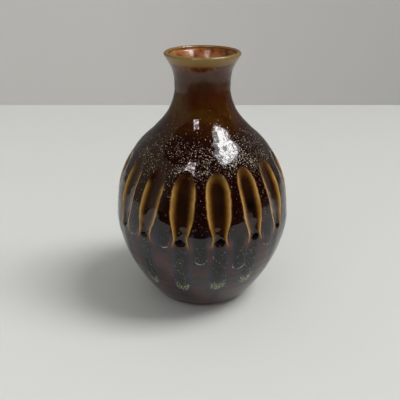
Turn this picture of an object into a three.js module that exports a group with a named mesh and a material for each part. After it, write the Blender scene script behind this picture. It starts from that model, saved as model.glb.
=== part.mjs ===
// A ceramic bud vase: a bottle form thrown in stoneware, with fifteen flutes carved
// round the belly, an amber-brown glaze outside and a liner glaze inside.
// Millimetres, +Z up, origin at the centre of the foot where it meets the table.
// A ridge between two flutes faces -Y.

import * as THREE from "three";
import { mergeVertices } from "three/addons/utils/BufferGeometryUtils.js";

// Driving dimensions
const height = 131.5;
const fluteCount = 15;
const fluteTop = 81.6; // height of the arched top of a flute
const fluteBottom = 47; // height of its narrow round end
const fluteHalfWidth = 5.5; // at its widest, along the surface
const fluteEndHalfWidth = 2.4; // where it narrows above the round end
const fluteDepth = 1.5;
const glazeThickness = 0.6;
const glazeGap = 0.1; // keeps the glaze and the clay under it apart as solids
const lipRadius = 1.15; // half the rounded lip's thickness, glaze included
const lipReach = 17.8; // from the axis to the middle of the lip
const throatRadius = 10.4; // the narrowest place inside the neck
const floorHeight = 6; // top of the vase's inside floor
const footRadius = 23.8; // outer edge of the flat that stands on the table
const footRingWidth = 4.2;
const footRecess = 1.6; // depth of the hollow turned under the base

// Facets
const columnsPerFlute = 4; // a ridge, an edge, the centre and the other edge
const columns = columnsPerFlute * fluteCount;
const outerRows = 30;
const innerRows = 14;
const lipSteps = 4;

const clayColour = 0x6b4a35;
const amberBrown = 0x3a1a0a;
const linerAmber = 0x8a4a20;

const at = (radius, z) => new THREE.Vector2(radius, z);

// The finished outside, from the glaze line above the foot to the underside of the lip.
const outsideCurve = new THREE.SplineCurve([
  at(26.3, 2.1),
  at(32.2, 9.6),
  at(38, 19.5),
  at(42.8, 31),
  at(45.5, 43.5),
  at(45.4, 54),
  at(43.9, 65),
  at(39.8, 75.4),
  at(33, 85.5),
  at(24.7, 93.4),
  at(18, 101.2),
  at(14.5, 109.4),
  at(13.9, 116.3),
  at(15, 123.1),
  at(lipReach + lipRadius, height - lipRadius),
]);

// The finished inside, from the inner edge of the lip to the middle of the floor.
const insideCurve = new THREE.SplineCurve([
  at(lipReach - lipRadius, height - lipRadius),
  at(12.6, 123.6),
  at(throatRadius, 115.8),
  at(10.7, 108.2),
  at(14, 99.6),
  at(21.2, 91.2),
  at(30.7, 81.5),
  at(37.4, 70.4),
  at(40.4, 59),
  at(40.9, 46),
  at(38.4, 32.6),
  at(33.6, 21.2),
  at(27, 12.6),
  at(16, 7.2),
  at(0, floorHeight),
]);

// Points stepped along a curve and set back from it by depth, towards its left-hand side.
// A point on the axis stays on it.
function setBack(curve, steps, depth) {
  const points = [];
  for (let i = 0; i <= steps; i++) {
    const point = curve.getPoint(i / steps);
    const along = curve.getTangent(i / steps);
    const radius = point.x === 0 ? 0 : point.x - along.y * depth;
    points.push(at(radius, point.y + along.x * depth));
  }
  return points;
}

// The rounded lip as an arc from its outer side over its crest to its inner side.
function lipArc(radius) {
  const arc = new THREE.EllipseCurve(
    lipReach, height - lipRadius, radius, radius, 0, Math.PI, false,
  );
  return arc.getPoints(lipSteps);
}

// Half the width of a flute at a height: narrow and round below, widest above the middle, arched on top.
function fluteHalfWidthAt(z) {
  const share = (z - fluteBottom) / (fluteTop - fluteBottom);
  if (share <= 0 || share >= 1) return 0;
  const swell = Math.sin((Math.PI / 2) * Math.min(1, share / 0.62)) ** 2;
  const side = THREE.MathUtils.lerp(fluteEndHalfWidth, fluteHalfWidth, swell);
  const arch = Math.sqrt(1 - Math.max(0, (share - 0.78) / 0.22) ** 2);
  const roundEnd = Math.sqrt(1 - Math.max(0, (0.07 - share) / 0.07) ** 2);
  return side * arch * roundEnd;
}

// How deep the flutes cut the surface at a height and an angle from the ridge that faces -Y:
// a scoop across, deepest on its centreline and shallower where the flute is narrow.
function carvedDepth(z, angle, radius) {
  const pitch = (2 * Math.PI) / fluteCount;
  const fromRidge = THREE.MathUtils.euclideanModulo(angle, pitch);
  const across = Math.abs(fromRidge - pitch / 2) * radius;
  const halfWidth = fluteHalfWidthAt(z);
  if (across >= halfWidth) return 0;
  const depth = fluteDepth * Math.sqrt(halfWidth / fluteHalfWidth);
  return depth * (1 - (across / halfWidth) ** 2);
}

// Two triangles for every facet of a turned profile. The diagonals mirror across each flute
// and match on both sides of a wall, so that nested walls stay apart.
function facetIndex(profile) {
  const rows = profile.length;
  const index = [];
  for (let i = 0; i < columns; i++) {
    const leftHalf = i % columnsPerFlute < columnsPerFlute / 2;
    for (let j = 0; j < rows - 1; j++) {
      const a = i * rows + j;
      const b = a + rows;
      const c = b + 1;
      const d = a + 1;
      const rising = profile[j + 1].y > profile[j].y;
      index.push(...(rising === leftHalf ? [a, b, c, c, d, a] : [a, b, d, c, d, b]));
    }
  }
  return index;
}

// Turns a closed profile about the axis. A point that lies on or under the fluted outside
// carries that outside height as its fluteHeight, and is carved by the flutes there.
function turned(profile) {
  const geometry = new THREE.LatheGeometry(profile, columns);
  geometry.setIndex(facetIndex(profile));
  const position = geometry.getAttribute("position");
  for (let i = 0; i < position.count; i++) {
    const point = profile[i % profile.length];
    if (point.fluteHeight === undefined) continue;
    const x = position.getX(i);
    const z = position.getZ(i);
    const radius = Math.hypot(x, z);
    const angle = Math.atan2(x, z);
    const scale = 1 - carvedDepth(point.fluteHeight, angle, radius) / radius;
    position.setX(i, x * scale);
    position.setZ(i, z * scale);
  }
  geometry.rotateX(Math.PI / 2);
  geometry.deleteAttribute("normal");
  geometry.deleteAttribute("uv");
  const closed = mergeVertices(geometry);
  closed.computeVertexNormals();
  return closed;
}

// The outside up to the lip's arc, set back by depth, with each point marked for the flutes.
function fluted(depth) {
  const finished = setBack(outsideCurve, outerRows, 0);
  const points = setBack(outsideCurve, outerRows, depth).slice(0, -1);
  points.forEach((point, i) => {
    point.fluteHeight = finished[i].y;
  });
  return points;
}

function piece(name, profile, colour, roughness) {
  const material = new THREE.MeshStandardMaterial({ color: colour, roughness, metalness: 0 });
  const mesh = new THREE.Mesh(turned(profile), material);
  mesh.name = name;
  return mesh;
}

// The thrown and carved clay: foot ring, belly, shoulder, neck and lip in one wall.
function clayBody() {
  const depth = glazeThickness + glazeGap;
  const foot = [
    at(0, footRecess),
    at(footRadius - footRingWidth - footRecess / 2, footRecess),
    at(footRadius - footRingWidth, 0),
    at(footRadius, 0),
    at(footRadius + 1, 1),
  ];
  return piece(
    "clay_body",
    [...foot, ...fluted(depth), ...lipArc(lipRadius - depth), ...setBack(insideCurve, innerRows, depth)],
    clayColour,
    0.85,
  );
}

// The coat outside: from its thick lower edge above the foot, up and over the lip.
function outerGlaze() {
  const front = [...fluted(0), ...lipArc(lipRadius)];
  const back = [...fluted(glazeThickness), ...lipArc(lipRadius - glazeThickness)].reverse();
  const profile = [...front, ...back, front[0]];
  return piece("outer_glaze", profile, amberBrown, 0.08);
}

// The liner glaze: from just inside the lip down to the floor, closed on the axis.
function linerGlaze() {
  const cavitySide = setBack(insideCurve, innerRows, 0);
  const claySide = setBack(insideCurve, innerRows, glazeThickness).reverse();
  cavitySide[0].y -= glazeGap;
  claySide[claySide.length - 1].y -= glazeGap;
  return piece("liner_glaze", [...claySide, ...cavitySide], linerAmber, 0.12);
}

const vase = new THREE.Group();
vase.add(clayBody(), outerGlaze(), linerGlaze());

export default vase;
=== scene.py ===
# A fluted stoneware bud vase under an amber iron glaze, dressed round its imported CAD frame.
# Lengths in the dictionaries are in millimetres and angles in degrees, unless a note says otherwise.
import math

import bmesh
import bpy
import numpy as np
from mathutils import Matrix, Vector


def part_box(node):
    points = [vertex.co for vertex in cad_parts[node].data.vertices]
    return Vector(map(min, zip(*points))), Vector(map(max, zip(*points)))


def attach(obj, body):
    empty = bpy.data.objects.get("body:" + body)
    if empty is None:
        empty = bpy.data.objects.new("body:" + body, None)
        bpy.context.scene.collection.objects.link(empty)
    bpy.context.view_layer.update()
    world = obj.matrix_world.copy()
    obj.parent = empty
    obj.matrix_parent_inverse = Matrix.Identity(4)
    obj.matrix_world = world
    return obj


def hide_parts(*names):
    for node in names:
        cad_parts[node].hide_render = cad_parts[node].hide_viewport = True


mm = 0.001

print("stage 1: the packed frame")
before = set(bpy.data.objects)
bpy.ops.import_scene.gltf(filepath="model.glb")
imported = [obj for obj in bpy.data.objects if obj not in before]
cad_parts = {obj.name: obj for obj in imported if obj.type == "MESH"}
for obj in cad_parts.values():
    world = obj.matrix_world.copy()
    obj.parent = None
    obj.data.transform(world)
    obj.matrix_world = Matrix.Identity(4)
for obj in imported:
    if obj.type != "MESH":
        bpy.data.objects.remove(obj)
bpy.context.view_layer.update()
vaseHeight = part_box("outer_glaze")[1].z / mm
farOff = 9.0  # stands for a distance beyond every outline

# The pot's outlines, from bottom to top outside and from top to bottom inside, as radius and height.
pot = {
    "outside": [
        (26.3, 2.1), (32.2, 9.6), (38, 19.5), (42.8, 31), (45.5, 43.5), (45.4, 54), (43.9, 65), (39.8, 75.4),
        (33, 85.5), (24.7, 93.4), (18, 101.2), (14.5, 109.4), (13.9, 116.3), (15, 123.1), (18.95, 130.35),
    ],
    "inside": [
        (16.65, 130.35), (12.6, 123.6), (10.4, 115.8), (10.7, 108.2), (14, 99.6), (21.2, 91.2), (30.7, 81.5),
        (37.4, 70.4), (40.4, 59), (40.9, 46), (38.4, 32.6), (33.6, 21.2), (27, 12.6), (16, 7.2), (0, 6),
    ],
    "lipRadius": 1.15,
    "lipReach": 17.8,  # from the axis to the middle of the lip
    "glazeThickness": 0.6,
    "clayDepth": 0.68,  # how far the clay lies under the finished outline
    "edgeRoll": 0.35,  # how far the glaze's rolled lower edge stands out
    "throwingRings": 0.025,  # how far the thrower's finger rings stand out
    "ringSpacing": 5.2,
    "wobble": 0.12,  # how far the wall wanders from round
}

flutes = {
    "count": 15,
    "top": 82.3,
    "bottom": 48.2,
    "arch": 8.5,  # height of the arched top
    "toe": 2.8,  # height of the scoop's rounded lower end
    "depth": 1.55,
    "pinch": 0.3,  # the share by which the scoop is narrower than its gold outline at the lower end
    "bottomRise": 0.6,  # the share of another flute's rise by which each lower end strays
    # half width and height: flared where the glaze ran out, pinched above that, widest over the middle
    "outline": [
        (4.6, 44.6), (4.2, 48), (3.45, 51.4), (4.1, 55.2), (5.5, 61), (6.05, 67), (5.9, 74), (5.1, 84),
    ],
    # how far each flute strays from its even place, from the one left of the front ridge on leftwards
    "stray": [-0.9, 0.2, 2.0, 0.6, 0.9, -1.1, 0.4, 0.8, -0.5, 1.0, -0.7, -2.0, -4.6, -3.1, -1.7],
    # how far its top stands above the even height, and how far it leans over its height, in degrees
    "rise": [-0.4, 0.5, 0.9, -0.6, 0.3, -0.8, 0.6, 0.2, -0.5, 0.7, -0.3, 0.5, 0.9, 0.6, -0.3],
    "lean": [1.4, 6.0, 2.4, 0.9, -1.8, 1.3, 0.7, -1.4, 1.5, -0.6, 1.2, -1.6, -1.5, -2.5, -0.4],
    # how high above its lower end each flute keeps its gold
    "goldTop": [26, 24, 28, 29, 25, 28, 26, 29, 25, 27, 29, 26, 30, 30, 28.5],
    # the share of the outline's width that it keeps above its pinched end
    "breadth": [0.94, 0.85, 0.84, 0.92, 0.88, 0.95, 0.9, 0.97, 0.86, 0.93, 0.89, 0.94, 0.9, 0.84, 0.95],
}


def hexLinear(code):
    # sRGB hex to linear: c/12.92 under 0.04045, otherwise ((c + 0.055)/1.055)^2.4
    values = [int(code[i:i + 2], 16) / 255 for i in (1, 3, 5)]
    linear = [v / 12.92 if v <= 0.04045 else ((v + 0.055) / 1.055) ** 2.4 for v in values]
    return (*linear, 1.0)


def smoothLine(points, count):
    # a Catmull-Rom curve through the points, resampled at even steps of its own length
    p = np.asarray(points, float)
    padded = np.vstack([p[0], p, p[-1]])
    samplesPerPoint = 60
    t = np.linspace(0, len(p) - 1, samplesPerPoint * len(p))
    i = np.minimum(t.astype(int), len(p) - 2)
    w = (t - i)[:, None]
    before, here, after, beyond = padded[i], padded[i + 1], padded[i + 2], padded[i + 3]
    curve = 0.5 * (
        2 * here + (after - before) * w + (2 * before - 5 * here + 4 * after - beyond) * w**2
        + (3 * here - before - 3 * after + beyond) * w**3
    )
    length = np.concatenate([[0], np.cumsum(np.hypot(*np.diff(curve, axis=0).T))])
    steps = np.linspace(0, length[-1], count)
    return np.column_stack([np.interp(steps, length, curve[:, 0]), np.interp(steps, length, curve[:, 1])])


def setBack(line, depth):
    # each point moved by depth along the outline's left-hand normal
    along = np.gradient(line, axis=0)
    along /= np.linalg.norm(along, axis=1)[:, None]
    return line + depth * np.column_stack([-along[:, 1], along[:, 0]])


def lipArc(radius, count):
    # half a circle over the lip, from its outer side to its inner side
    turn = np.linspace(0, math.pi, count)
    middle = vaseHeight - pot["lipRadius"]
    return np.column_stack([pot["lipReach"] + radius * np.cos(turn), middle + radius * np.sin(turn)])


def smoothStep(low, high, x):
    # 0 at low and 1 at high, with t*t*(3 - 2t) between, where t is the share of the way
    t = np.clip((x - low) / (high - low), 0, 1)
    return t * t * (3 - 2 * t)


def wrapped(angle):
    # degrees brought into -180 to 180
    return (angle + 180) % 360 - 180


def waves(phi, z, seed, reach):
    # a smooth unevenness between about -1 and 1: a third of the sum of six sine waves round and up the pot,
    # each a whole number of turns and about reach mm long
    girth = 280
    rng = np.random.default_rng(seed)
    total = np.zeros(np.broadcast(phi, z).shape)
    for _ in range(6):
        turns = rng.integers(1, max(2, int(girth / reach)))
        rise = rng.normal(0, 1 / reach)
        total += np.sin(math.radians(1) * turns * phi + 2 * math.pi * rise * z + rng.uniform(0, 6.3))
    return total / 3


def slotDistance(phi, z, radius, centre, top, bottom, side, topRound, bottomRound):
    # 0 down the middle of an upright slot and 1 on its outline: the root of the summed squares of the share
    # of its half width, of its arched top and of its round bottom
    across = np.radians(wrapped(phi - centre)) * radius
    share = (z - bottom) / (top - bottom)
    arch = np.maximum(0, (share - 1 + topRound) / topRound)
    end = np.maximum(0, (bottomRound - share) / bottomRound)
    return np.sqrt((across / side) ** 2 + arch**2 + end**2), share


def fluteDistance(phi, z, radius):
    # for the nearest flute: across over half width, closed by the arch above (the edge, 1 on its outline),
    # the same pinched and closed by the round toe as well (the scoop), the height above the flute's lower
    # end, and which flute it is
    edge, scoop = np.full(phi.shape, farOff), np.full(phi.shape, farOff)
    height, which = np.zeros(phi.shape), np.zeros(phi.shape, int)
    width, level = smoothLine(flutes["outline"], 80).T
    pitch = 360 / flutes["count"]
    for i in range(flutes["count"]):
        top = flutes["top"] + flutes["rise"][i]
        bottom = flutes["bottom"] + flutes["bottomRise"] * flutes["rise"][(i * 4) % flutes["count"]]
        share = (z - bottom) / (top - bottom)
        centre = -pitch * (i + 0.5) + flutes["stray"][i] + flutes["lean"][i] * (share - 0.5)
        side = np.interp(z - bottom + flutes["bottom"], level, width)
        side *= 1 + (flutes["breadth"][i] - 1) * smoothStep(6, 20, z - bottom)
        across = np.radians(wrapped(phi - centre)) * radius / side
        arch = np.maximum(0, (z - top) / flutes["arch"] + 1)
        toe = np.maximum(0, (bottom - z) / flutes["toe"] + 1)
        pinch = 1 - flutes["pinch"] * smoothStep(10, 2, z - bottom)
        q = np.sqrt(across**2 + arch**2)
        closer = q < edge
        edge = np.where(closer, q, edge)
        scoop = np.where(closer, np.sqrt((across / pinch) ** 2 + arch**2 + toe**2), scoop)
        height, which = np.where(closer, z - bottom, height), np.where(closer, i, which)
    return edge, scoop, height, which


def carved(phi, z, radius):
    # depth of the carving: across each flute x = 1 - scoop^2, its edge eased to (x + sqrt(x^2 + ease^2)) / 2,
    # and three quarters as deep at the lower end
    ease = 0.08
    _, scoop, height, _ = fluteDistance(phi, z, radius)
    inside = 1 - np.minimum(scoop, 3) ** 2
    eased = 0.5 * (inside + np.sqrt(inside**2 + ease**2))
    return flutes["depth"] * (0.75 + 0.25 * smoothStep(9, 20, height)) * eased * (scoop < 2.5)


def turnedMesh(name, line, columns, fluteHeights=None, swell=None, closed=True):
    # carries the outline round the axis: x = r sin(phi), y = -r cos(phi), with r less by the carved depth;
    # returns the object and its grids of angle, height and radius
    rows = len(line)
    phi, z = np.meshgrid(np.linspace(-180, 180, columns, endpoint=False), line[:, 1], indexing="ij")
    radius = np.broadcast_to(line[:, 0], phi.shape).copy()
    if fluteHeights is not None:
        under = np.broadcast_to(fluteHeights, phi.shape)
        radius -= carved(phi, under, radius)
    if swell is not None:
        radius += swell(phi, z)
    angle = np.radians(phi)
    points = np.stack([radius * np.sin(angle), -radius * np.cos(angle), z], axis=-1) * mm
    i, j = np.meshgrid(np.arange(columns), np.arange(rows - 1 + closed), indexing="ij")
    nextColumn, nextRow = (i + 1) % columns, (j + 1) % rows
    corners = [(i, j), (nextColumn, j), (nextColumn, nextRow), (i, nextRow)]
    faces = np.stack([a * rows + b for a, b in corners], axis=-1).reshape(-1, 4)
    return meshObject(name, points.reshape(-1, 3), faces), phi, z, radius


def meshObject(name, points, faces):
    # whole arrays straight into a mesh, smooth shaded
    mesh = bpy.data.meshes.new(name)
    mesh.vertices.add(len(points))
    mesh.vertices.foreach_set("co", points.astype(np.float32).ravel())
    sides = faces.shape[1]
    mesh.loops.add(faces.size)
    mesh.loops.foreach_set("vertex_index", faces.astype(np.int32).ravel())
    mesh.polygons.add(len(faces))
    mesh.polygons.foreach_set("loop_start", np.arange(0, faces.size, sides, dtype=np.int32))
    mesh.polygons.foreach_set("use_smooth", np.ones(len(faces), bool))
    mesh.update(calc_edges=True)
    mesh.validate()
    made = bpy.data.objects.new(name, mesh)
    bpy.context.scene.collection.objects.link(made)
    return made


def paint(made, name, values):
    # a number at every vertex, for the material to read
    attribute = made.data.attributes.new(name, "FLOAT", "POINT")
    attribute.data.foreach_set("value", np.asarray(values, np.float32).ravel())


def newMaterial(name):
    # an empty node tree under a material of that name
    material = bpy.data.materials.new(name)
    material.use_nodes = True
    material.node_tree.nodes.clear()
    return material, material.node_tree


def addNode(tree, kind, settings=None, links=None):
    # adds a node, sets its properties, sockets and colour stops, and links what feeds it
    node = tree.nodes.new(kind)
    for key, value in (settings or {}).items():
        if key == "stops":
            ramp = node.color_ramp
            while len(ramp.elements) < len(value):
                ramp.elements.new(1)
            for element, (position, code, alpha) in zip(ramp.elements, value):
                element.position = position
                element.color = (*hexLinear(code)[:3], alpha)
        elif isinstance(key, int) or key in node.inputs:
            node.inputs[key].default_value = value
        else:
            setattr(node, key, value)
    for key, source in (links or {}).items():
        tree.links.new(source, node.inputs[key])
    return node


def closePoles(made):
    # merges each ring of points that lie on the axis into one: those under half a micrometre apart
    mesh = bmesh.new()
    mesh.from_mesh(made.data)
    bmesh.ops.remove_doubles(mesh, verts=mesh.verts, dist=0.0005 * mm)
    mesh.to_mesh(made.data)
    mesh.free()


# the long runs that left each flute, in the flutes' order: the height each ends at and how many degrees it
# drifts on the way
runs = {
    "end": [17.5, 17.7, 19.5, 16.2, 20.8, 18.4, 15.6, 19.9, 17.1, 21.2, 16.8, 18.9, 17.4, 20.6, 19.0],
    "drift": [-1.7, -4.5, -2.0, 1.2, 2.4, -1.6, 0.8, -2.2, 1.7, -0.9, 2.1, -1.4, 1.8, -0.6, 0.5],
    "start": 1.5,  # above the flutes' lower end
    "halfWidth": 3.9,
    "topRound": 0.12,  # shares of its height
    "endRound": 0.16,
    "wander": 0.14,  # the share that its width varies by
    "relief": 0.16,
}
# the short drips between the flutes
drips = {
    "end": [37.9, 45.9, 47.0, 39.2, 35.1, 44.3, 40.6, 33.8, 43.0, 37.2, 46.1, 39.9, 36.4, 42.3, 33.0],
    "stray": [-1.2, -0.2, -1.6, 0.9, -0.7, 1.3, -1.1, 0.6, 1.0, -0.8, 0.4, -1.3, 0.7, -2.8, -0.2],
    "top": 60,
    "halfWidth": 3.3,
    "topRound": 0.3,  # share of its height
    "endHeight": 3.4,  # height of its round end
    "wander": 0.1,
    "relief": 0.14,
}


def runDistance(phi, z, radius):
    # slotDistance to the nearest long run below a flute, and its share of height
    nearest, height = np.full(phi.shape, farOff), np.zeros(phi.shape)
    pitch = 360 / flutes["count"]
    for i in range(flutes["count"]):
        top, end = flutes["bottom"] + runs["start"], runs["end"][i]
        share = (z - end) / (top - end)
        centre = -pitch * (i + 0.5) + flutes["stray"][i] + runs["drift"][i] * (1 - share)
        side = runs["halfWidth"] * (0.68 + 0.32 * smoothStep(1, 0.2, share))
        side = side * (1 + runs["wander"] * waves(phi * 0 + 40 * i, z, 7 + i, 18))
        q, share = slotDistance(
            phi, z, radius, centre, top, end, side, runs["topRound"], runs["endRound"],
        )
        closer = q < nearest
        nearest, height = np.where(closer, q, nearest), np.where(closer, share, height)
    return nearest, height


def dripDistance(phi, z, radius):
    # slotDistance to the nearest short drip between two flutes, and its share of height
    nearest, height = np.full(phi.shape, farOff), np.zeros(phi.shape)
    pitch = 360 / flutes["count"]
    for i in range(flutes["count"]):
        top, end = drips["top"], drips["end"][i]
        share = (z - end) / (top - end)
        centre = -pitch * i + drips["stray"][i]
        side = drips["halfWidth"] * (1 + drips["wander"] * waves(phi * 0 + 70 * i, z, 31 + i, 12))
        q, share = slotDistance(
            phi, z, radius, centre, top, end, side, drips["topRound"], drips["endHeight"] / (top - end),
        )
        closer = q < nearest
        nearest, height = np.where(closer, q, nearest), np.where(closer, share, height)
    return nearest, height


def glazeRelief(phi, z):
    # how far the fired glaze and the thrown wall stand off the outline: finger rings, a slow wobble,
    # and the runs and drips, each a low dome across
    usualRadius = 40.0
    rings = pot["throwingRings"] * np.sin(2 * math.pi * z / pot["ringSpacing"] + 0.6 * waves(phi, z, 3, 60))
    wobble = pot["wobble"] * waves(phi, z, 5, 90)
    runQ, _ = runDistance(phi, z, usualRadius)
    dripQ, dripShare = dripDistance(phi, z, usualRadius)
    domes = runs["relief"] * smoothStep(1.15, 0.4, runQ)
    domes += drips["relief"] * smoothStep(1.15, 0.5, dripQ) * smoothStep(0.9, 0.5, dripShare)
    return rings + wobble + domes


# the share of the surface under crystals in each place
crystalShare = {
    "shoulder": 0.52,
    "aboveShoulder": 0.05,
    "neck": 0.012,
    "ridges": 0.09,
    "belly": 0.03,
    "clearedInFlute": 0.93,
    "run": 0.22,
    "runEnd": 1.3,
    "drip": 0.16,
}


def outerGlaze():
    # one closed coat: up the outside from its rolled lower edge, over the lip, and back down its thickness in
    columns, outsideRows, behindRows, lipRows, lipBehindRows = 360, 196, 56, 13, 7
    outside = smoothLine(pot["outside"], outsideRows)
    behindOutline = smoothLine(pot["outside"], behindRows)
    behind = setBack(behindOutline, pot["glazeThickness"])
    lipOut = lipArc(pot["lipRadius"], lipRows)
    lipBack = lipArc(pot["lipRadius"] - pot["glazeThickness"], lipBehindRows)
    line = np.vstack([outside[:-1], lipOut, lipBack[::-1], behind[-2::-1]])
    # the back is carved at the finished outline's heights, so that it follows the front
    heights = line[:, 1].copy()
    heights[-len(behind) + 1:] = behindOutline[-2::-1, 1]
    outer = len(outside) - 1
    line[:outer, 0] += pot["edgeRoll"] * np.exp(-((outside[:-1, 1] - 3.0) / 1.1) ** 2)

    def swell(phi, z):
        relief = glazeRelief(phi, z) * smoothStep(1.5, 6, z) * smoothStep(vaseHeight - 1, vaseHeight - 8, z)
        relief[:, outer:] = 0
        return relief

    made, phi, z, radius = turnedMesh("outerGlaze", line, columns, heights, swell)
    fluteEdge, _, fluteHeight, which = fluteDistance(phi, z, radius)
    goldTop = np.array(flutes["goldTop"])[which]
    runQ, runShare = runDistance(phi, z, radius)
    dripQ, dripShare = dripDistance(phi, z, radius)
    paint(made, "fluteEdge", np.minimum(fluteEdge, 3))
    paint(made, "fluteHeight", fluteHeight)
    paint(made, "fluteGold", smoothStep(goldTop + 5, goldTop, fluteHeight))
    paint(made, "runDistance", np.minimum(runQ, 3))
    paint(made, "dripDistance", np.minimum(dripQ, 3))
    paint(made, "dripShare", dripShare)
    paint(made, "lipInside", smoothStep(0.6, -0.5, radius - pot["lipReach"]) * (z > vaseHeight - 4))
    # crystals: thick on the shoulder, thin on the ridges and neck, more along the runs and most at their
    # ends, each place's share times the bands it lies in
    uneven = 1 + 0.3 * waves(phi, z, 11, 14)
    shoulder = smoothStep(75, 82, z) * smoothStep(97, 89, z)
    above = crystalShare["aboveShoulder"] * smoothStep(108, 99, z) * smoothStep(90, 96, z)
    above = above + crystalShare["neck"] * smoothStep(113, 106, z)
    ridges = crystalShare["ridges"] * smoothStep(46, 72, z) * smoothStep(92, 80, z)
    ridges = ridges + crystalShare["belly"] * smoothStep(40, 50, z) * smoothStep(103, 95, z)
    inFlute = smoothStep(1.2, 0.9, fluteEdge) * smoothStep(0, 3, fluteHeight)
    crystals = (crystalShare["shoulder"] * shoulder + above + ridges) * uneven
    crystals = crystals * (1 - crystalShare["clearedInFlute"] * inFlute) * smoothStep(42, 50, z)
    inRun = smoothStep(1.15, 0.75, runQ) * smoothStep(50, 44, z)
    runEnd = smoothStep(0.3, 0.08, runShare) * smoothStep(-0.1, 0, runShare)
    crystals += inRun * (crystalShare["run"] + crystalShare["runEnd"] * runEnd * smoothStep(0, 0.4, runQ))
    crystals += crystalShare["drip"] * smoothStep(1.1, 0.8, dripQ) * smoothStep(0.62, 0.4, dripShare)
    paint(made, "crystals", np.clip(crystals, 0, 1))
    # the rusty halo: a bell curve across the flute's edge, times one over its lower end
    halo = np.exp(-(((fluteEdge - 1.12) / 0.42) ** 2)) * np.exp(-(((fluteHeight - 0.6) / 3.4) ** 2))
    paint(made, "halo", halo)
    return made


# the bare foot: a ring to stand on, round a hollow turned under the base
foot = {
    "radius": 23.8,
    "ringWidth": 4.2,
    "recess": 1.6,
}


def clayBody():
    # the turned clay: foot ring and recess, fluted wall under the glaze, lip and inside
    columns, wallRows, lipRows, hollowRows = 240, 90, 7, 70
    radius, recess = foot["radius"], foot["recess"]
    inner = radius - foot["ringWidth"]
    base = np.array([
        (0, recess), (10, recess), (17.6, recess), (18.6, recess - 0.25), (inner - 0.35, 0.25),
        (inner + 0.1, 0), (radius - 0.5, 0), (radius, 0.12), (radius + 0.35, 0.5),
    ])
    outside = smoothLine(pot["outside"], wallRows)
    wall = setBack(outside, pot["clayDepth"])
    lip = lipArc(pot["lipRadius"] - pot["clayDepth"], lipRows)
    hollow = setBack(smoothLine(pot["inside"], hollowRows), pot["clayDepth"])
    hollow[-1, 0] = 0
    line = np.vstack([base, wall[:-1], lip, hollow[1:]])
    # the wall is carved at the finished outline's heights, and the lip and the inside not at all
    wallEnd = len(base) + len(wall) - 1
    heights = line[:, 1].copy()
    heights[len(base):wallEnd] = outside[:-1, 1]
    heights[wallEnd:] = 0
    made, *_ = turnedMesh("clayBody", line, columns, heights, closed=False)
    closePoles(made)
    return made


liner = {
    "lipGap": 0.02,  # keeps its rim just under the outer glaze's
    "wobble": 0.1,
    "rings": 0.05,
    "ringSpacing": 4.6,
}


def linerGlaze():
    # closed on the axis: up the clay's inner face and back down the side that shows
    columns, cavityRows, backingRows = 240, 130, 60
    cavity = smoothLine(pot["inside"], cavityRows)
    backing = setBack(smoothLine(pot["inside"], backingRows), pot["glazeThickness"])[::-1]
    backing[0, 0] = 0
    cavity[0, 1] -= liner["lipGap"]

    def swell(phi, z):
        # slow waves and finger rings, dying out at the rim and on the floor
        relief = liner["wobble"] * waves(phi, z, 17, 30)
        relief = relief + liner["rings"] * np.sin(2 * math.pi * z / liner["ringSpacing"])
        relief = relief * smoothStep(128, 120, z) * smoothStep(8, 16, z)
        relief[:, :len(backing)] = 0
        return relief

    made, *_ = turnedMesh("linerGlaze", np.vstack([backing, cavity]), columns, None, swell, closed=False)
    closePoles(made)
    return made


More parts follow.
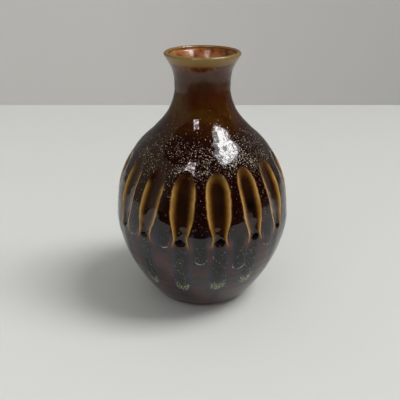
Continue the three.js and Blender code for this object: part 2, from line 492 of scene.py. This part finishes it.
def amberIronGlaze():
    # iron-bearing glaze fired over stoneware: near black where it is thick in the flutes, gold where it
    # breaks thin over their edges, brown on the neck, smoky where it ran, with pale crystals near the surface
    material, tree = newMaterial("amberIronGlaze")
    tall = vaseHeight * mm
    place = addNode(tree, "ShaderNodeTexCoord").outputs["Object"]
    source = {"height": addNode(tree, "ShaderNodeSeparateXYZ", {}, {0: place}).outputs["Z"]}
    for name in (
        "fluteEdge", "fluteHeight", "fluteGold", "runDistance", "dripDistance", "dripShare", "lipInside",
        "crystals", "halo",
    ):
        source[name] = addNode(tree, "ShaderNodeAttribute", {"attribute_name": name}).outputs["Fac"]

    # cloudiness in the glaze, its patches so many millimetres across
    for name, size, detail in (("broad", 13.3, 3), ("patch", 9.1, 4), ("fine", 2.4, 4)):
        clouds = addNode(tree, "ShaderNodeTexNoise",
                         {"Scale": 1 / (size * mm), "Detail": detail}, {"Vector": place})
        source[name] = clouds.outputs["Fac"]
    # the same distances with their borders let wander, the height by so many metres and the rest by a share
    for name, start, cloud, wander in (
        ("level", "height", "broad", 0.0025), ("fluteReach", "fluteEdge", "fine", 0.03),
        ("runReach", "runDistance", "fine", 0.12), ("dripReach", "dripDistance", "fine", 0.12),
    ):
        shift = addNode(tree, "ShaderNodeMapRange",
                        {1: 0.3, 2: 0.7, 3: -wander, 4: wander}, {0: source[cloud]})
        added = addNode(tree, "ShaderNodeMath",
                        {"operation": "ADD"}, {0: source[start], 1: shift.outputs[0]})
        source[name] = added.outputs[0]

    # colours along a distance, each with how far it covers what is under it
    ramps = {
        "ground": ("level", 0, tall, [
            (0.0, "#2a1c18", 1), (0.06, "#3a2a27", 1), (0.25, "#3d2d2b", 1), (0.34, "#30221f", 1),
            (0.40, "#1f0e0a", 1), (0.50, "#190403", 1), (0.62, "#1a0503", 1), (0.72, "#230c06", 1),
            (0.78, "#3a1806", 1), (0.86, "#401d06", 1), (0.90, "#472608", 1), (1.0, "#461a02", 1),
        ]),
        "neckMottle": ("broad", 0, 1, [(0.38, "#471806", 1), (0.5, "#402208", 1), (0.62, "#4c340b", 1)]),
        "runSmoke": ("runReach", 0, 2, [
            (0.0, "#080a0a", 1), (0.30, "#090c0c", 1), (0.42, "#101727", 0.9), (0.56, "#1d2240", 0.6),
            (0.80, "#2a2632", 0.0),
        ]),
        "dripSmoke": ("dripReach", 0, 2, [
            (0.0, "#080a0a", 1), (0.36, "#090c0c", 1), (0.50, "#131a2c", 0.9), (0.66, "#1e2344", 0.6),
            (0.90, "#2a2632", 0.0),
        ]),
        # dark glass in the scoop, amber then gold to its edge, a quick fall to the ridge outside
        "flute": ("fluteReach", 0, 1.6, [
            (0.0, "#2b1508", 1), (0.24, "#2b1608", 1), (0.35, "#42260b", 1), (0.45, "#75501d", 1),
            (0.53, "#9b773c", 1), (0.60, "#bd9963", 1), (0.64, "#8a6228", 1), (0.67, "#45220a", 0.9),
            (0.72, "#260d05", 0.6), (0.80, "#1d0806", 0.0),
        ]),
        "crystalTint": ("height", 0, tall, [
            (0.0, "#d3d9a2", 1), (0.25, "#c3c39a", 1), (0.36, "#9d9a80", 1), (0.42, "#7d7664", 1),
            (0.58, "#c4b49c", 1),
        ]),
        # white where the glaze is satin: the neck and the lip
        "satin": ("height", 0, tall, [
            (0.80, "#000000", 1), (0.89, "#ffffff", 1), (0.925, "#ffffff", 1), (0.95, "#303030", 1),
            (0.975, "#ffffff", 1),
        ]),
    }
    for name, (start, low, high, stops) in ramps.items():
        along = addNode(tree, "ShaderNodeMapRange", {1: low, 2: high}, {0: source[start]})
        ramp = addNode(tree, "ShaderNodeValToRGB", {"stops": stops}, {0: along.outputs[0]})
        source[name], source[name + "Cover"] = ramp.outputs["Color"], ramp.outputs["Alpha"]

    # crystals: specks 0.3 to 0.5 mm across in cells a little larger, as many as the crystals attribute says,
    # wider where they crowd; each of two sizes has its cell in mm and its dimmest and brightest
    bent = addNode(tree, "ShaderNodeMix", {"data_type": "VECTOR", 0: 0.0005},
                   {4: place, 5: clouds.outputs["Color"]})
    reach = addNode(tree, "ShaderNodeMapRange",
                    {1: 0.6, 2: 1.0, 3: 0.35, 4: 0.62}, {0: source["crystals"]})
    specks = []
    for cell, dimmest, brightest in ((0.77, 0.25, 1.0), (0.53, 0.05, 0.35)):
        cells = addNode(tree, "ShaderNodeTexVoronoi", {"Scale": 1 / (cell * mm)}, {"Vector": bent.outputs[1]})
        draw = addNode(tree, "ShaderNodeSeparateColor", {}, {0: cells.outputs["Color"]})
        drawn = addNode(tree, "ShaderNodeMath", {"operation": "LESS_THAN"},
                        {0: draw.outputs[0], 1: source["crystals"]})
        disc = addNode(tree, "ShaderNodeMapRange", {2: 0.18},
                       {0: cells.outputs["Distance"], 1: reach.outputs[0]})
        speck = addNode(tree, "ShaderNodeMath", {"operation": "MULTIPLY"},
                        {0: drawn.outputs[0], 1: disc.outputs[0]})
        bright = addNode(tree, "ShaderNodeMapRange", {3: dimmest, 4: brightest}, {0: draw.outputs[1]})
        shown = addNode(tree, "ShaderNodeMath", {"operation": "MULTIPLY"},
                        {0: speck.outputs[0], 1: bright.outputs[0]})
        specks.append(shown.outputs[0])
    brighter = addNode(tree, "ShaderNodeMath", {"operation": "MAXIMUM"}, {0: specks[0], 1: specks[1]})
    source["crystal"] = brighter.outputs[0]
    # 1 on the outline of a drip, within a small width of it
    tide = addNode(tree, "ShaderNodeMath",
                   {"operation": "COMPARE", 1: 1.0, 2: 0.07}, {0: source["dripDistance"]})
    source["tide"] = tide.outputs[0]

    # each layer's colour, and the shares that its cover is the product of: what it reads, from one value to
    # another, and the share at each
    layers = [
        ("neckMottle", [("height", 0.094, 0.104, 0, 0.7)]),
        ("#1a0a05", [("fine", 0.42, 0.75, 0, 0.3)]),
        # a red-brown band broken by specks of gold under the gold lip
        ("#4f1d04", [("height", 0.1222, 0.1240, 0, 0.9)]),
        ("#856c3a", [("height", 0.1262, 0.1278, 0, 1)]),
        ("#6f4a1c", [
            ("height", 0.1290, 0.1266, 0, 1), ("height", 0.1235, 0.1255, 0, 1), ("fine", 0.5, 0.6, 0, 0.7),
        ]),
        ("#86602f", [("lipInside", 0, 1, 0, 1)]),
        # red patches and a smoky drift on the lower wall
        ("#4b2725", [("patch", 0.5, 0.62, 0, 0.7), ("height", 0.052, 0.042, 0, 1)]),
        ("#242024", [("patch", 0.47, 0.36, 0, 0.7), ("height", 0.052, 0.042, 0, 1)]),
        # runs and drips: blue smoke round their edges, dark glass down the middle
        ("runSmoke", [("runSmokeCover", 0, 1, 0, 1), ("height", 0.050, 0.044, 0, 1)]),
        ("dripSmoke", [
            ("dripSmokeCover", 0, 1, 0, 1), ("dripShare", 0.85, 0.6, 0, 1), ("fluteEdge", 1.1, 1.5, 0, 1),
        ]),
        # the rusty halo where the flutes run out
        ("#644031", [("halo", 0, 1, 0, 1), ("fine", 0.3, 0.6, 0.4, 0.75)]),
        ("flute", [
            ("fluteCover", 0, 1, 0, 1), ("fluteHeight", -1.5, 3.5, 0, 1), ("fluteGold", 0, 1, 0.02, 1),
        ]),
        # the gold thinner in places
        ("#5f3f18", [
            ("fluteEdge", 0.6, 0.8, 0, 1), ("fluteEdge", 1.06, 1.0, 0, 1), ("patch", 0.46, 0.62, 0, 0.5),
            ("fluteHeight", 0, 4, 0, 1),
        ]),
        # near black where the glass pooled along the middle
        ("#080506", [
            ("fluteReach", 0.62, 0.3, 0, 1), ("broad", 0.4, 0.7, 0, 1), ("fluteHeight", 33, 28, 0, 1),
        ]),
        # the black pool in the toe of each flute: thick glaze, darkened further as a painted dark reflection
        ("#070606", [
            ("fluteEdge", 0.85, 0.6, 0, 1), ("fluteHeight", 0.3, 1.3, 0, 1),
            ("fluteHeight", 4.6, 3.2, 0, 0.9),
        ]),
        # painted shade under each flute's arch
        ("#2d1208", [
            ("fluteEdge", 1.05, 0.85, 0, 1), ("fluteHeight", 26, 32, 0, 1), ("broad", 0.42, 0.6, 0.9, 0.3),
        ]),
        ("crystalTint", [("crystal", 0, 1, 0, 1)]),
        # the pale tide line round the foot of each drip
        ("#a9a892", [("tide", 0, 1, 0, 1), ("dripShare", 0.15, 0.05, 0, 1), ("fine", 0.45, 0.55, 0, 0.8)]),
    ]
    colour = source["ground"]
    for coat, masks in layers:
        cover = None
        for name, start, stop, startShare, stopShare in masks:
            settings = {1: start, 2: stop, 3: startShare, 4: stopShare}
            share = addNode(tree, "ShaderNodeMapRange", settings, {0: source[name]}).outputs[0]
            if cover is not None:
                both = addNode(tree, "ShaderNodeMath", {"operation": "MULTIPLY"}, {0: cover, 1: share})
                share = both.outputs[0]
            cover = share
        plain = {7: hexLinear(coat)} if coat.startswith("#") else {}
        varied = {} if coat.startswith("#") else {7: source[coat]}
        blend = addNode(tree, "ShaderNodeMix",
                        {"data_type": "RGBA", **plain}, {0: cover, 6: colour, **varied})
        colour = blend.outputs[2]

    # the orange-peel of a fired surface, waves about 4 mm long, with the crystals standing a little proud
    peel = addNode(tree, "ShaderNodeTexNoise", {"Scale": 1 / (4.3 * mm), "Detail": 2}, {"Vector": place})
    surface = addNode(tree, "ShaderNodeBump",
                      {"Strength": 0.3, "Distance": 0.07 * mm}, {"Height": peel.outputs["Fac"]})
    raised = addNode(tree, "ShaderNodeBump", {"Strength": 0.8, "Distance": 0.08 * mm},
                     {"Height": source["crystal"], "Normal": surface.outputs[0]})
    # glassy low down, satin on the neck, and dull on the crystals
    neck = addNode(tree, "ShaderNodeMapRange", {3: 0.045, 4: 0.24}, {0: source["satin"]})
    dull = addNode(tree, "ShaderNodeMapRange", {4: 0.4}, {0: source["crystal"], 3: neck.outputs[0]})
    shader = addNode(tree, "ShaderNodeBsdfPrincipled", {"IOR": 1.52},
                     {"Base Color": colour, "Roughness": dull.outputs[0], "Normal": raised.outputs[0]})
    addNode(tree, "ShaderNodeOutputMaterial", {}, {"Surface": shader.outputs[0]})
    return material


def rustLinerGlaze():
    # the same glaze thin over the buff wall of the throat: orange-brown, blotched where it pooled, glossy
    material, tree = newMaterial("rustLinerGlaze")
    blotchSize = 5.263
    place = addNode(tree, "ShaderNodeTexCoord").outputs["Object"]
    blotch = addNode(tree, "ShaderNodeTexNoise",
                     {"Scale": 1 / (blotchSize * mm), "Detail": 5, "Roughness": 0.6}, {"Vector": place})
    colour = addNode(tree, "ShaderNodeValToRGB", {"stops": [
        (0.32, "#4f270f", 1), (0.45, "#83481f", 1), (0.55, "#9c6236", 1), (0.68, "#ad7e50", 1),
    ]}, {0: blotch.outputs["Fac"]})
    bump = addNode(tree, "ShaderNodeBump",
                   {"Strength": 0.3, "Distance": 0.1 * mm}, {"Height": blotch.outputs["Fac"]})
    shader = addNode(tree, "ShaderNodeBsdfPrincipled", {"IOR": 1.52, "Roughness": 0.17},
                     {"Base Color": colour.outputs["Color"], "Normal": bump.outputs[0]})
    addNode(tree, "ShaderNodeOutputMaterial", {}, {"Surface": shader.outputs[0]})
    return material


def firedStoneware():
    # bare fired stoneware: matt warm brown, toasted in patches, gritty, with dark iron specks
    material, tree = newMaterial("firedStoneware")
    toastSize, gritSize, ironSpacing = 11.11, 0.625, 1.4286
    place = addNode(tree, "ShaderNodeTexCoord").outputs["Object"]
    toast = addNode(tree, "ShaderNodeTexNoise",
                    {"Scale": 1 / (toastSize * mm), "Detail": 4}, {"Vector": place})
    body = addNode(tree, "ShaderNodeValToRGB", {"stops": [
        (0.35, "#6f4f3a", 1), (0.5, "#8d6a50", 1), (0.65, "#a38062", 1),
    ]}, {0: toast.outputs["Fac"]})
    grit = addNode(tree, "ShaderNodeTexNoise", {"Scale": 1 / (gritSize * mm), "Detail": 3}, {"Vector": place})
    iron = addNode(tree, "ShaderNodeTexVoronoi", {"Scale": 1 / (ironSpacing * mm)}, {"Vector": place})
    specks = addNode(tree, "ShaderNodeMapRange", {1: 0.16, 2: 0.1}, {0: iron.outputs["Distance"]})
    colour = addNode(tree, "ShaderNodeMix", {"data_type": "RGBA", 7: hexLinear("#2c1a12")},
                     {0: specks.outputs[0], 6: body.outputs["Color"]})
    bump = addNode(tree, "ShaderNodeBump",
                   {"Strength": 0.6, "Distance": 0.1 * mm}, {"Height": grit.outputs["Fac"]})
    shader = addNode(tree, "ShaderNodeBsdfPrincipled", {"IOR": 1.5, "Roughness": 0.85},
                     {"Base Color": colour.outputs[2], "Normal": bump.outputs[0]})
    addNode(tree, "ShaderNodeOutputMaterial", {}, {"Surface": shader.outputs[0]})
    return material


print("stage 2: clay and glazes")
for made, node, slot, material in (
    (outerGlaze(), "outer_glaze", "outer_glaze", amberIronGlaze()),
    (linerGlaze(), "liner_glaze", "liner_glaze", rustLinerGlaze()),
    (clayBody(), "clay_body", "fired_clay", firedStoneware()),
):
    made.data.materials.append(material)
    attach(made, "root")
    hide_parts(node)
    print(made.name, len(made.data.polygons), "faces")

print("stage 3: table, walls, light and camera")
studio = {
    "tableEdge": -195,  # where the mirrored table stops in front of the pot, with the dark room beyond
    "tableSide": 240,  # past this, to the right, painted shade dims the mirrored table
    # painted shade that dims the mirrored table to the right and the mirrored wall upwards
    "paintedShadeTone": "#4a4540",
    "wallBehind": 397,
    "reach": 2400,  # how far the table and the wall run
    "mirroredWallTop": 1300,
    "tableColour": "#d9dad6",
    # the table as only the glaze mirrors it, painted a little darker than the table: painted shade in its
    # reflection
    "mirroredTable": "#cfd0cc",
    "wallColour": "#e2e0dd",
    "wallPaintedShade": "#c9c8c6",  # painted shade on the wall's right-hand side
    # the wall as only the glaze mirrors it, painted lighter than the wall: painted light in its reflection
    "mirroredWall": "#f4f3f0",
    "room": "#161412",
    "domeRadius": 2600,
    "dome": 0.36,  # radiance
    # the lights' distances and sizes are in metres
    "key": {"azimuth": 92, "elevation": 56, "distance": 9.0, "size": 4.5, "radiance": 11.8},
    "front": {"azimuth": -35, "elevation": 38, "distance": 3.0, "size": 1.6, "radiance": 0.9},
    "camera": {"place": (-1.2, -277.5, 177.9), "downward": 24.4, "lens": 50.4, "sensor": 36},
}


def plainMaterial(name, code, fade=None):
    # flat paint; fade gives an axis, two distances along it and the painted shade that takes over between
    # them
    material, tree = newMaterial(name)
    shader = addNode(tree, "ShaderNodeBsdfPrincipled",
                     {"Base Color": hexLinear(code), "Roughness": 0.8, "Specular IOR Level": 0.2})
    if fade:
        axis, start, stop, shade = fade
        place = addNode(tree, "ShaderNodeTexCoord")
        parts = addNode(tree, "ShaderNodeSeparateXYZ", {}, {0: place.outputs["Object"]})
        share = addNode(tree, "ShaderNodeMapRange", {1: start * mm, 2: stop * mm}, {0: parts.outputs[axis]})
        tone = addNode(tree, "ShaderNodeMix", {"data_type": "RGBA", 6: hexLinear(code), 7: hexLinear(shade)},
                       {0: share.outputs[0]})
        tree.links.new(tone.outputs[2], shader.inputs["Base Color"])
    addNode(tree, "ShaderNodeOutputMaterial", {}, {"Surface": shader.outputs[0]})
    return material


def placeInSet(made, material, mirrored):
    # a sheet of the set, seen by the camera or only mirrored in the glaze
    made.data.materials.append(material)
    made.visible_glossy = mirrored
    if mirrored:
        for ray in ("camera", "diffuse", "shadow", "transmission"):
            setattr(made, "visible_" + ray, False)


def card(name, corners, material, mirrored=False):
    # one flat four-cornered face
    made = meshObject(name, np.array(corners, float) * mm, np.array([[0, 1, 2, 3]]))
    placeInSet(made, material, mirrored)


def direction(azimuth, elevation):
    # the unit vector towards a light: azimuth 0 is in front of the pot, along -Y, and 90 along +X
    a, e = math.radians(azimuth), math.radians(elevation)
    return Vector((math.sin(a) * math.cos(e), -math.cos(a) * math.cos(e), math.sin(e)))


def softLight(name, light):
    # a square panel that lights the set but isn't mirrored in the glaze: its power is pi times radiance
    # times area
    data = bpy.data.lights.new(name, "AREA")
    data.size = light["size"]
    data.energy = math.pi * light["radiance"] * light["size"] ** 2
    made = bpy.data.objects.new(name, data)
    towards = direction(light["azimuth"], light["elevation"])
    made.location = towards * light["distance"]
    made.rotation_euler = towards.to_track_quat("Z", "Y").to_euler()
    made.visible_glossy = False
    made.visible_camera = False
    bpy.context.scene.collection.objects.link(made)


def glowMaterial(name, code, radiance):
    # even light of one radiance
    material, tree = newMaterial(name)
    glow = addNode(tree, "ShaderNodeEmission", {"Color": hexLinear(code), "Strength": radiance})
    addNode(tree, "ShaderNodeOutputMaterial", {}, {"Surface": glow.outputs[0]})
    return material


def wallGlow(name, code, radiance, start, stop):
    # a sheet whose glow is painted light standing in for a lit wall, fading towards the front between two
    # distances along Y in metres
    material, tree = newMaterial(name)
    place = addNode(tree, "ShaderNodeTexCoord")
    parts = addNode(tree, "ShaderNodeSeparateXYZ", {}, {0: place.outputs["Object"]})
    share = addNode(tree, "ShaderNodeMapRange", {1: start, 2: stop, 4: radiance}, {0: parts.outputs["Y"]})
    glow = addNode(tree, "ShaderNodeEmission", {"Color": hexLinear(code)}, {"Strength": share.outputs[0]})
    addNode(tree, "ShaderNodeOutputMaterial", {}, {"Surface": glow.outputs[0]})
    return material


def windowGlow(name, code, radiance, spacing, cover):
    # daylight through leaves: bright patches about so many metres apart where noise passes cover, and a
    # grey pane elsewhere
    paneRadiance = 3.6
    material, tree = newMaterial(name)
    place = addNode(tree, "ShaderNodeTexCoord")
    leaves = addNode(tree, "ShaderNodeTexNoise", {"Scale": 1 / spacing, "Detail": 3, "Distortion": 0.6},
                     {"Vector": place.outputs["Object"]})
    patches = addNode(tree, "ShaderNodeMapRange",
                      {1: cover - 0.02, 2: cover + 0.03, 3: paneRadiance, 4: radiance},
                      {0: leaves.outputs["Fac"]})
    glow = addNode(tree, "ShaderNodeEmission", {"Color": hexLinear(code)}, {"Strength": patches.outputs[0]})
    addNode(tree, "ShaderNodeOutputMaterial", {}, {"Surface": glow.outputs[0]})
    return material


def mirroredCard(name, azimuths, elevations, rise, distance, material):
    # a sheet of light curved round the pot that only its glaze mirrors: distance times the unit vector
    # towards each azimuth and elevation, the elevation rising evenly from one side of the sheet to the other
    rows = 9
    sides, levels = np.linspace(*azimuths, rows), np.linspace(*elevations, rows)
    azimuth, elevation = np.meshgrid(sides, levels, indexing="ij")
    elevation = elevation + np.linspace(-rise / 2, rise / 2, rows)[:, None]
    a, e = np.radians(azimuth), np.radians(elevation)
    points = distance * np.stack([np.sin(a) * np.cos(e), -np.cos(a) * np.cos(e), np.sin(e)], axis=-1)
    i, j = np.meshgrid(np.arange(rows - 1), np.arange(rows - 1), indexing="ij")
    corners = [i * rows + j, i * rows + j + 1, (i + 1) * rows + j + 1, (i + 1) * rows + j]
    made = meshObject(name, points.reshape(-1, 3), np.stack(corners, axis=-1).reshape(-1, 4))
    placeInSet(made, material, True)


edge, side, back, far = studio["tableEdge"], studio["tableSide"], studio["wallBehind"], studio["reach"]
top = studio["mirroredWallTop"]
clear = 0.05  # lifts the mirrored table off the other
card("tableTop", [(-far, -far, 0), (far, -far, 0), (far, back, 0), (-far, back, 0)],
     plainMaterial("paintedTable", studio["tableColour"]))
# the wall behind, painted shade darkening its right-hand side
card("wallBehind", [(-far, back, 0), (far, back, 0), (far, back, far), (-far, back, far)],
     plainMaterial("paintedWall", studio["wallColour"], ("X", -100, 350, studio["wallPaintedShade"])))
# the table only the glaze mirrors, painted shade dimming it to the right
card("tableInGloss", [(-far, edge, clear), (far, edge, clear), (far, back, clear), (-far, back, clear)],
     plainMaterial("mirroredTable", studio["mirroredTable"], ("X", side, 2 * side, studio["paintedShadeTone"])),
     mirrored=True)
# the wall only the glaze mirrors, painted shade dimming it upwards
card("wallInGloss", [(-far, back, 0), (far, back, 0), (far, back, top), (-far, back, top)],
     plainMaterial("mirroredWall", studio["mirroredWall"], ("Z", 350, 1100, studio["paintedShadeTone"])),
     mirrored=True)

domeRows, domeColumns = 13, 24
turn = np.linspace(0, math.pi / 2, domeRows)
domeLine = studio["domeRadius"] * np.column_stack([np.cos(turn), np.sin(turn)])
domeLine[-1, 0] = 0
dome, *_ = turnedMesh("softDome", domeLine[::-1], domeColumns, closed=False)
closePoles(dome)
dome.data.materials.append(glowMaterial("softDomeGlow", "#ffffff", studio["dome"]))
dome.visible_glossy = False
dome.visible_shadow = False
softLight("keyPanel", studio["key"])
softLight("frontPanel", studio["front"])

# each sheet's azimuths, elevations, rise, distance in metres and glow
for sheet in (
    ("leftWallInGloss", (-155, -40), (0, 50), 0, 0.8, wallGlow("leftWallGlow", "#e8d2b4", 0.34, -0.62, -0.3)),
    ("paneInGloss", (43, 117), (50, 72), -3, 1.6, glowMaterial("paneGlow", "#ffffff", 2.4)),
    ("windowInGloss", (47, 112), (52, 69), -3, 1.5, windowGlow("windowGlow", "#ffffff", 21, 0.12, 0.48)),
    ("doorInGloss", (-34, -15), (47, 63), 0, 1.5, windowGlow("doorGlow", "#f6e2e6", 21, 0.15, 0.5)),
):
    mirroredCard(*sheet)

world = bpy.data.worlds.new("dimRoom")
bpy.context.scene.world = world
world.use_nodes = True
world.node_tree.nodes["Background"].inputs[0].default_value = hexLinear(studio["room"])

view = studio["camera"]
camera = bpy.data.cameras.new("camera")
camera.lens = view["lens"]
camera.sensor_width = view["sensor"]
cameraObject = bpy.data.objects.new("camera", camera)
cameraObject.location = [v * mm for v in view["place"]]
cameraObject.rotation_euler = (math.radians(90 - view["downward"]), 0, 0)
bpy.context.scene.collection.objects.link(cameraObject)
bpy.context.scene.camera = cameraObject
bpy.context.scene.view_settings.view_transform = "Standard"
